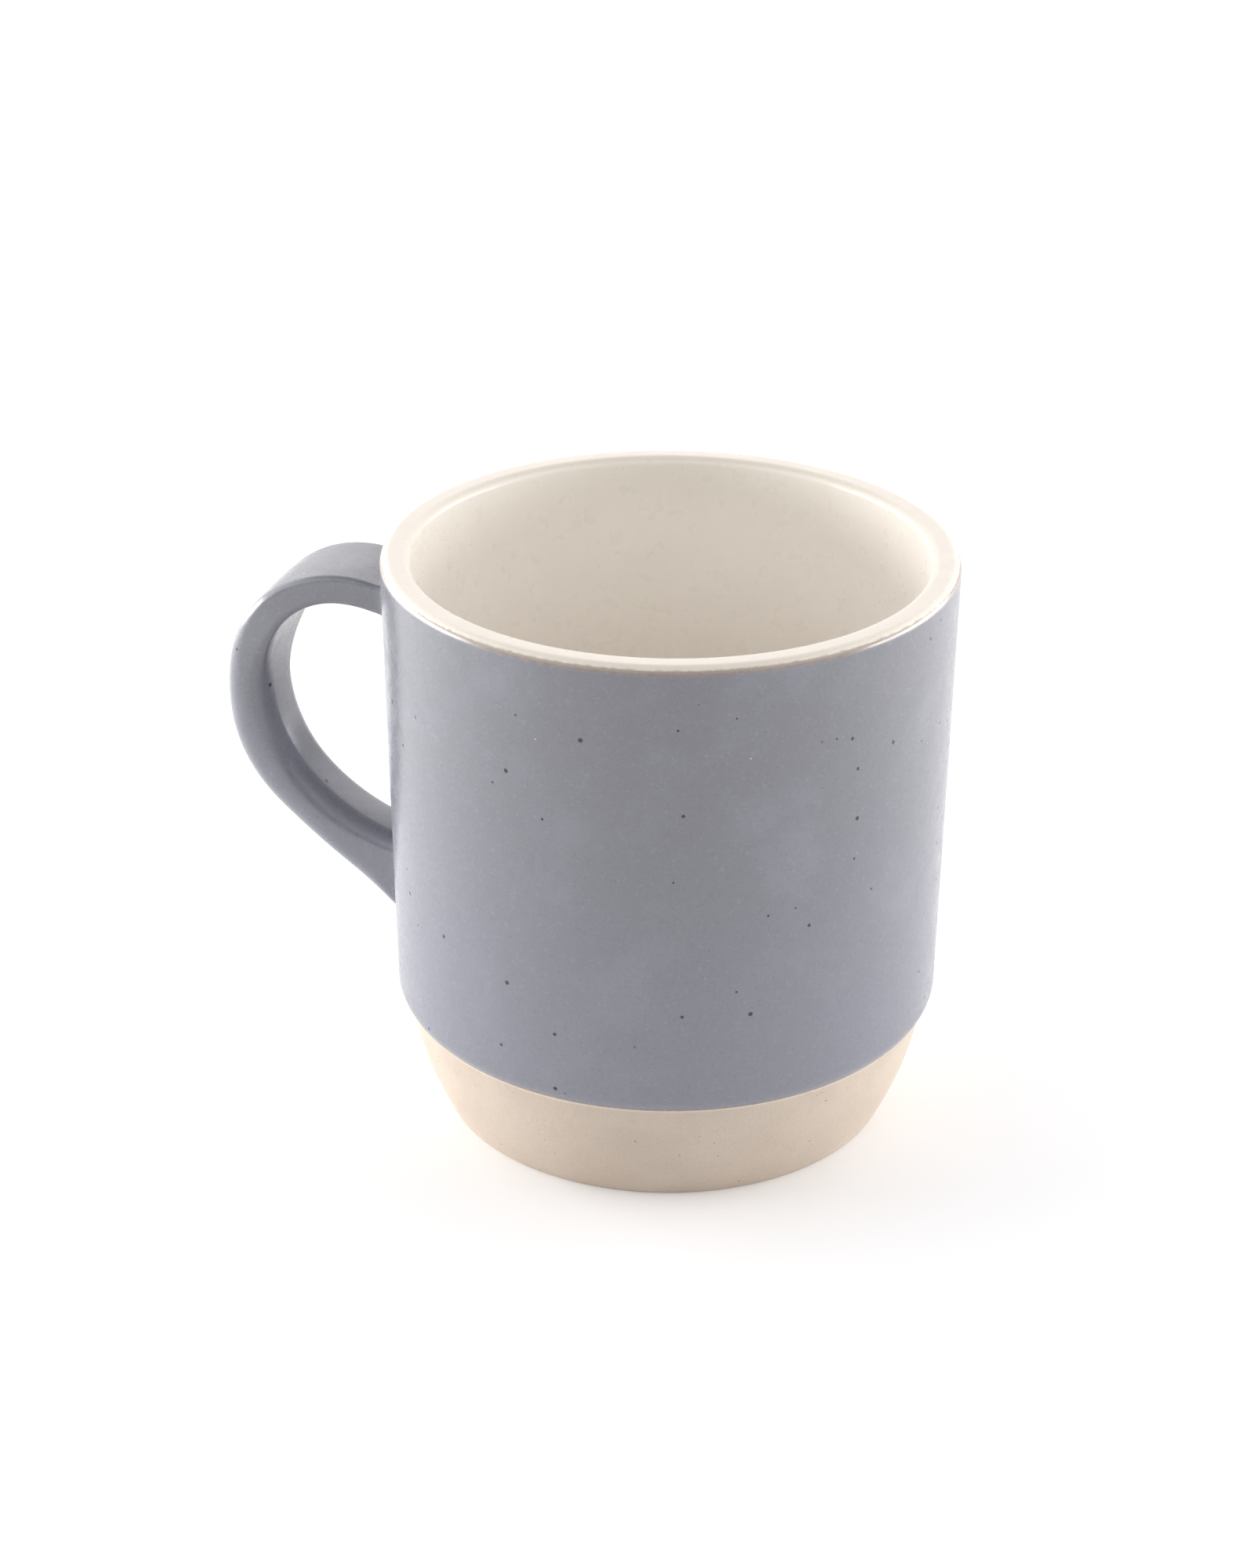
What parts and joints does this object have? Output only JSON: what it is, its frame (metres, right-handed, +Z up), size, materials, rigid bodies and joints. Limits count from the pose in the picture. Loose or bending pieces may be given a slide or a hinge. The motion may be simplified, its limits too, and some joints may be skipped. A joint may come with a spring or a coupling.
{
  "type": "ceramic mug",
  "caption": "Straight-walled stoneware mug with an ear-shaped strap handle, a satin outer glaze, an ivory liner glaze and a bare tapered foot, for hot or cold drinks.",
  "frame": {"origin": "centre of the foot, on the surface that the mug stands on", "axes": "+Z up along the axis of the cup, +X away from the handle, which points along -X; Y runs across the handle"},
  "size_m": [0.1188, 0.09, 0.0943],
  "materials": {
    "bare_clay": "fired stoneware, matt and slightly sandy",
    "handle_clay": "fired stoneware under the glaze",
    "slip": "fired slip",
    "blue_glaze": "satin grey-blue glaze with sparse iron specks",
    "ivory_glaze": "ivory satin-gloss liner glaze"
  },
  "bodies": {
    "root": {"cup_body": "bare_clay", "handle": "handle_clay", "upper_slip_joint": "slip", "lower_slip_joint": "slip", "outer_glaze": "blue_glaze", "handle_glaze": "blue_glaze", "liner_glaze": "ivory_glaze"}
  },
  "joints": []
}
